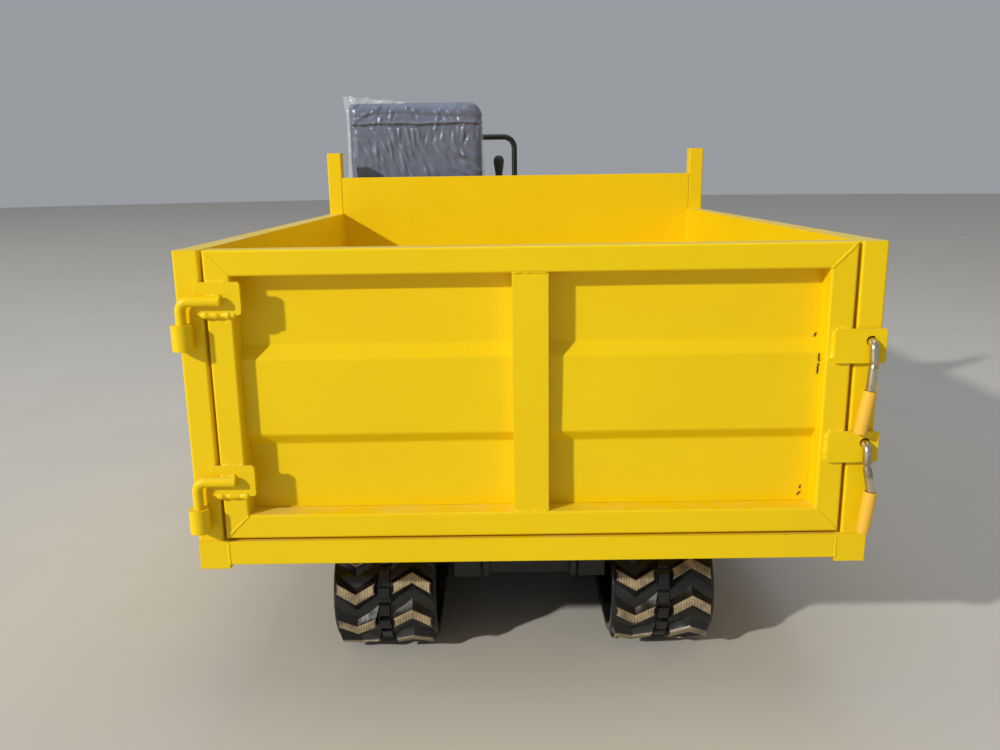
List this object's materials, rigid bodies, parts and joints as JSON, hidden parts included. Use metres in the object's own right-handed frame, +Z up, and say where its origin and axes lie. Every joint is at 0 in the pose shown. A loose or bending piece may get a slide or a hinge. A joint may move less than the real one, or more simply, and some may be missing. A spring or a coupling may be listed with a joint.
{
  "type": "rubber-tracked site dumper",
  "caption": "Small rubber-tracked site dumper with a tipping box bed, side-hinged rear gate, forward driver's seat and engine hood.",
  "frame": {"origin": "on the ground under the middle of the machine's overall box", "axes": "+Y forward along the machine, from the gate to the driver, +X to the right seen from behind, +Z up"},
  "size_m": [1.362, 2.6709, 1.343],
  "materials": {
    "bare_steel": "worn bright",
    "black_enamel": "satin enamel",
    "black_plastic": "moulded",
    "engine_iron": "painted casting",
    "exhaust_steel": "heat stained",
    "grey_vinyl": "vinyl cloth in clear film",
    "ground_rod": "hard chromed",
    "track_rubber": "matt, wet and dusty",
    "yellow_enamel": "gloss enamel",
    "zinc_steel": "zinc plated"
  },
  "bodies": {
    "chassis": {"chassis_frame": "black_enamel", "track_frames": "black_enamel", "track_left": "track_rubber", "track_right": "track_rubber", "drive_sprockets": "bare_steel", "rear_idlers": "bare_steel", "track_rollers": "bare_steel", "travel_motors": "black_enamel", "deck": "yellow_enamel", "seat_base": "black_enamel", "seat_cushion": "grey_vinyl", "seat_backrest": "grey_vinyl", "fuel_tank": "yellow_enamel", "control_console": "black_plastic", "travel_levers": "black_plastic", "side_console": "black_plastic", "auxiliary_levers": "black_plastic", "hand_rail": "black_enamel", "engine_hood": "yellow_enamel", "hood_grille": "black_plastic", "engine_block": "engine_iron", "exhaust_pipe": "exhaust_steel", "front_bumper": "black_enamel", "head_lamps": "black_plastic", "boarding_step": "black_enamel"},
    "bed": {"floor_rails": "yellow_enamel", "longerons": "yellow_enamel", "cross_members": "yellow_enamel", "bed_floor": "yellow_enamel", "rear_post_left": "yellow_enamel", "rear_post_right": "yellow_enamel", "bed_side_left": "yellow_enamel", "bed_side_right": "yellow_enamel", "headboard": "yellow_enamel", "stake_posts": "yellow_enamel"},
    "gate": {"gate_frame": "yellow_enamel", "gate_panel": "yellow_enamel", "gate_centre_bar": "yellow_enamel", "gate_hinges": "yellow_enamel", "latch_plates": "yellow_enamel", "latch_hooks": "zinc_steel", "latch_handles": "yellow_enamel"},
    "hood_lid": {"hood_lid": "yellow_enamel"},
    "cylinder_barrel": {"tip_cylinder_barrel": "black_enamel"},
    "cylinder_rod": {"tip_cylinder_rod": "ground_rod"}
  },
  "joints": [
    {"name": "bed_tip", "type": "hinge", "parent": "chassis", "child": "bed", "pos_m": [0, -1.1445, 0.318], "axis": [1, 0, 0], "range_deg": [0, 55]},
    {"name": "gate_swing", "type": "hinge", "parent": "bed", "child": "gate", "pos_m": [-0.661, -1.3125, 0.6], "axis": [0, 0, -1], "range_deg": [0, 180]},
    {"name": "hood_open", "type": "hinge", "parent": "chassis", "child": "hood_lid", "pos_m": [0.35, 1.2055, 0.865], "axis": [-1, 0, 0], "range_deg": [0, 60]},
    {"name": "cylinder_tilt", "type": "hinge", "parent": "chassis", "child": "cylinder_barrel", "pos_m": [0, -0.7945, 0.17], "axis": [1, 0, 0], "range_deg": [0, 66.18]},
    {"name": "cylinder_stroke", "type": "slide", "parent": "cylinder_barrel", "child": "cylinder_rod", "axis": [0, 0.9888, 0.1491], "range_m": [0, 0.3197]}
  ],
  "couplings": [
    {"joint": "cylinder_tilt", "follows": "bed_tip", "ratio": 1.1943},
    {"joint": "cylinder_stroke", "follows": "bed_tip", "m_per_rad": 0.33096}
  ]
}
